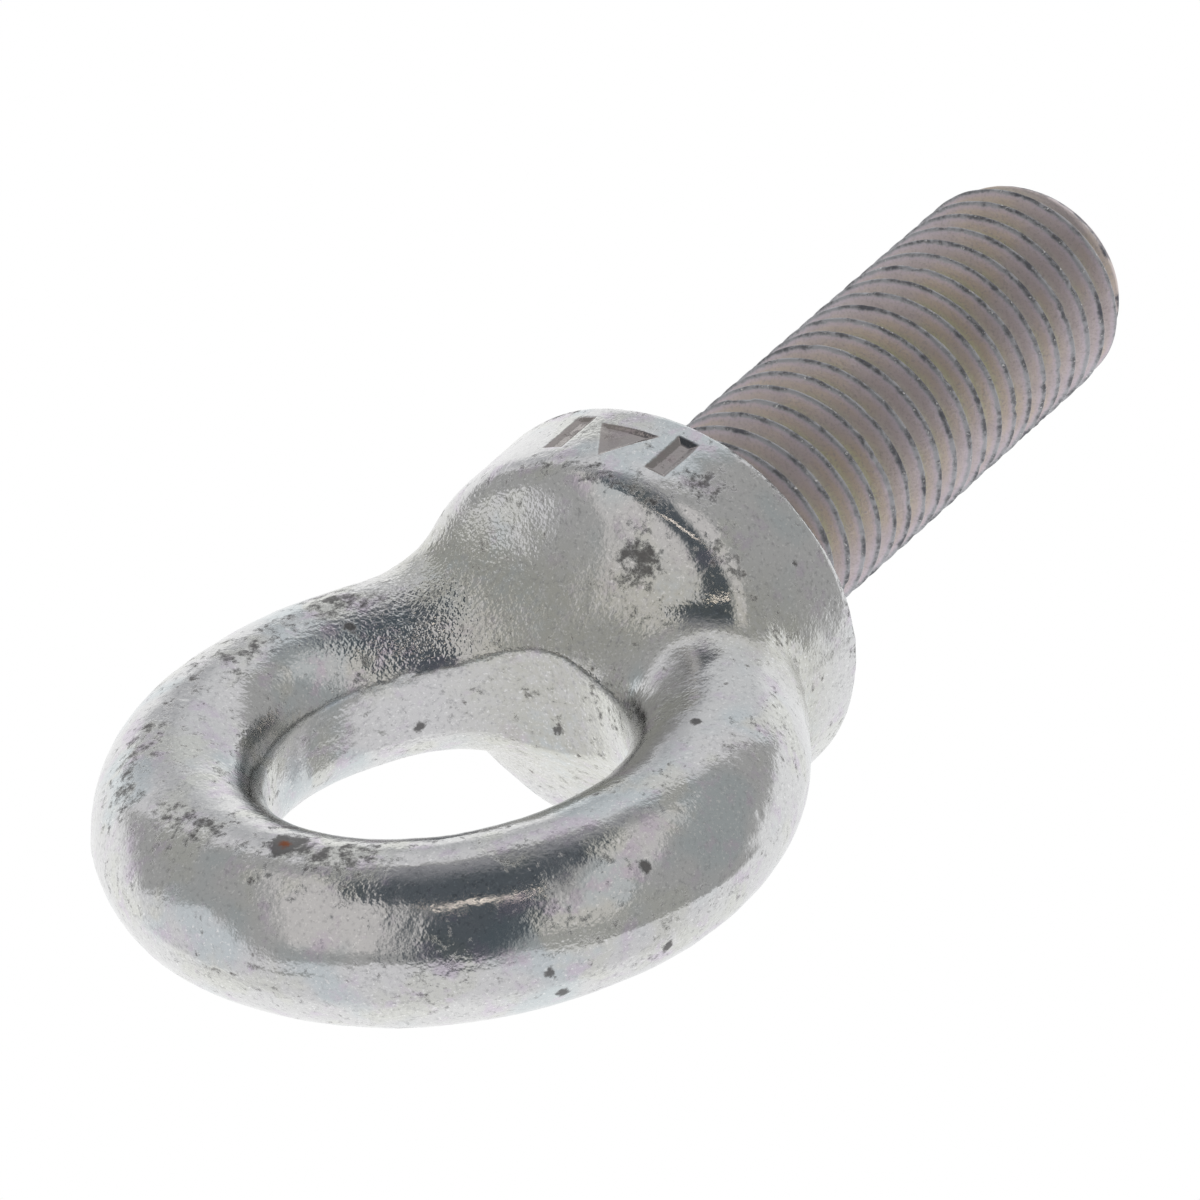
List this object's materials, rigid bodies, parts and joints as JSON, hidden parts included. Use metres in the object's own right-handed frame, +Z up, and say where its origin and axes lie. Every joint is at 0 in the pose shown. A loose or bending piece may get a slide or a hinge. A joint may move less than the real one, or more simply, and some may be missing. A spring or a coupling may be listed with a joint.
{
  "type": "collar eye bolt",
  "caption": "Forged lifting eye bolt: round ring on a saddle neck and collar, above a long coarse-threaded shank.",
  "frame": {"origin": "centre of the collar's seating face, on the bolt axis", "axes": "+Z up the bolt axis to the eye; the ring lies in the XZ plane and the eye looks along Y; the shank runs along -Z"},
  "size_m": [0.0708, 0.044, 0.1479],
  "materials": {
    "zinc_forging": "bright zinc plating over a shot-blasted forging",
    "zinc_thread": "zinc plating with a dull purple-grey bloom over cut threads"
  },
  "bodies": {
    "root": {"eye_ring": "zinc_forging", "saddle_neck": "zinc_forging", "collar": "zinc_forging", "threaded_shank": "zinc_thread"}
  },
  "joints": []
}
